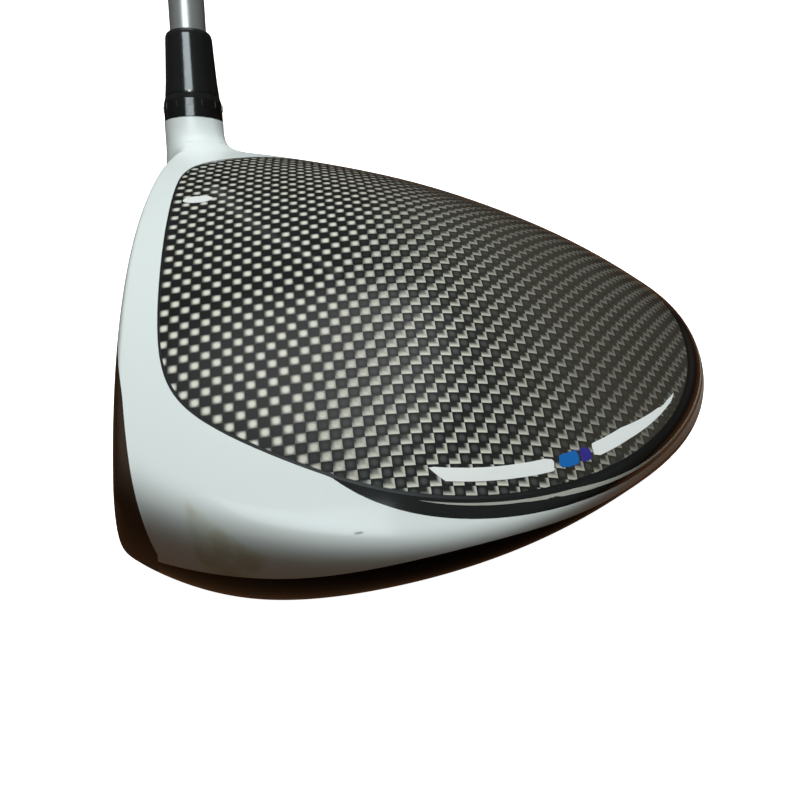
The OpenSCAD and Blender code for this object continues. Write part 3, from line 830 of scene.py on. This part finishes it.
def studio_world():
    """Pale overhead, dark at the horizon and brown below it, with a glow from above the heel;
    the camera itself sees plain white."""
    world = bpy.data.worlds.new("studio")
    bpy.context.scene.world = world
    world.use_nodes = True
    tree = world.node_tree
    background = tree.nodes["Background"]
    coords = tree.nodes.new("ShaderNodeTexCoord")
    split = tree.nodes.new("ShaderNodeSeparateXYZ")
    tree.links.new(coords.outputs["Generated"], split.inputs[0])
    half = tree.nodes.new("ShaderNodeMath")
    half.operation = "MULTIPLY_ADD"
    half.inputs[1].default_value = 0.5
    half.inputs[2].default_value = 0.5
    tree.links.new(split.outputs[2], half.inputs[0])
    ramp = tree.nodes.new("ShaderNodeValToRGB")
    ramp.color_ramp.elements[0].position = 0.0
    ramp.color_ramp.elements[0].color = (0.05, 0.025, 0.012, 1)
    ramp.color_ramp.elements[1].position = 1.0
    ramp.color_ramp.elements[1].color = (0.15, 0.17, 0.165, 1)
    for place, color in ((0.24, (0.13, 0.055, 0.022, 1)), (0.40, (0.012, 0.008, 0.006, 1)),
                         (0.52, (0.05, 0.045, 0.04, 1)), (0.62, (0.05, 0.05, 0.045, 1)),
                         (0.80, (0.11, 0.125, 0.12, 1))):
        ramp.color_ramp.elements.new(place).color = color
    tree.links.new(half.outputs[0], ramp.inputs[0])
    glow_at = Vector((-0.25, 0.05, 0.97)).normalized()
    dot = tree.nodes.new("ShaderNodeVectorMath")
    dot.operation = "DOT_PRODUCT"
    tree.links.new(coords.outputs["Generated"], dot.inputs[0])
    dot.inputs[1].default_value = glow_at
    glow = tree.nodes.new("ShaderNodeMapRange")
    glow.interpolation_type = "SMOOTHSTEP"
    glow.inputs["From Min"].default_value = 0.90
    glow.inputs["From Max"].default_value = 1.0
    glow.inputs["To Max"].default_value = 0.9
    tree.links.new(dot.outputs["Value"], glow.inputs["Value"])
    total = tree.nodes.new("ShaderNodeVectorMath")
    total.operation = "ADD"
    tree.links.new(ramp.outputs[0], total.inputs[0])
    tree.links.new(glow.outputs[0], total.inputs[1])
    seen = tree.nodes.new("ShaderNodeLightPath")
    pick = tree.nodes.new("ShaderNodeMix")
    pick.data_type = "RGBA"
    tree.links.new(seen.outputs["Is Camera Ray"], pick.inputs[0])
    tree.links.new(total.outputs[0], pick.inputs[6])
    pick.inputs[7].default_value = (1, 1, 1, 1)
    tree.links.new(pick.outputs[2], background.inputs[0])
    background.inputs[1].default_value = 1.0


def strip_light(name, place, target, size, power, mirrored):
    """A rectangular soft light, aimed at a point: either only mirrored, or only lighting."""
    data = bpy.data.lights.new(name, "AREA")
    data.shape = "RECTANGLE"
    data.size, data.size_y = size
    data.energy = power
    lamp = bpy.data.objects.new(name, data)
    lamp.location = place
    lamp.visible_glossy = mirrored
    lamp.visible_diffuse = not mirrored
    data.color = (0.84, 0.96, 1.0) if mirrored else (1.0, 1.0, 0.98)
    lamp.rotation_euler = (Vector(target) - Vector(place)).to_track_quat("-Z", "Y").to_euler()
    bpy.context.scene.collection.objects.link(lamp)


def hosel_spot(place, target, power):
    """A small spot that brightens the hosel alone."""
    data = bpy.data.lights.new("hosel_spot", "SPOT")
    data.energy = power
    data.spot_size = math.radians(7.5)
    data.spot_blend = 1.0
    data.shadow_soft_size = 0.02
    lamp = bpy.data.objects.new("hosel_spot", data)
    lamp.location = place
    lamp.rotation_euler = (Vector(target) - Vector(place)).to_track_quat("-Z", "Y").to_euler()
    bpy.context.scene.collection.objects.link(lamp)


def stage():
    """Pale floor, soft light and the camera."""
    floor = make_mesh("floor", [[-4000, -4000, -0.4], [4000, -4000, -0.4], [4000, 4000, -0.4],
                                [-4000, 4000, -0.4]], [[0, 1, 2, 3]])
    mat = new_material("floor_white", (0.9, 0.9, 0.9), 0.9)
    floor.data.materials.append(mat)
    shader = mat.node_tree.nodes["Principled BSDF"]
    shader.inputs["Emission Color"].default_value = (1, 1, 1, 1)
    shader.inputs["Emission Strength"].default_value = 1.0
    floor.visible_glossy = False
    floor.visible_diffuse = False

    studio_world()
    head = (0, 0.02, 0.03)
    ferrule = (-0.072, -0.019, 0.068)
    strip_light("overhead", (-0.15, 0.05, 1.0), head, (0.6, 0.6), 9.6, mirrored=False)
    strip_light("ferrule_strip", (0.31, -0.06, 0.52), ferrule, (0.32, 0.30), 1.7, mirrored=True)
    hosel_spot((0.30, -0.03, 0.35), ferrule, 4.0)

    data = bpy.data.cameras.new("camera")
    camera = bpy.data.objects.new("camera", data)
    bpy.context.scene.collection.objects.link(camera)
    data.sensor_width = 36
    data.lens = 34.98
    data.clip_start = 0.01
    yaw, pitch, roll = math.radians(84.2), math.radians(39.0), math.radians(-2.7)
    back = Vector((math.sin(yaw) * math.cos(pitch), -math.cos(yaw) * math.cos(pitch), math.sin(pitch)))
    camera.location = (0.1318, 0.0085, 0.1206)
    camera.rotation_mode = "QUATERNION"
    look = (-back).to_track_quat("-Z", "Y")
    camera.rotation_quaternion = look @ Matrix.Rotation(roll, 4, "Z").to_quaternion()
    bpy.context.scene.camera = camera
    bpy.context.scene.view_settings.view_transform = "Standard"


paint_frame()
head_surface = head_grid(*GRID_SIZE)
head_tree = search_tree(head_surface[0])
whole = build_skin(head_surface, head_tree)
head_pieces(whole)
hosel_neck(head_tree)
crown_marks(whole)
trim_line(whole)
shaft_piece()
grip_piece()
stage()
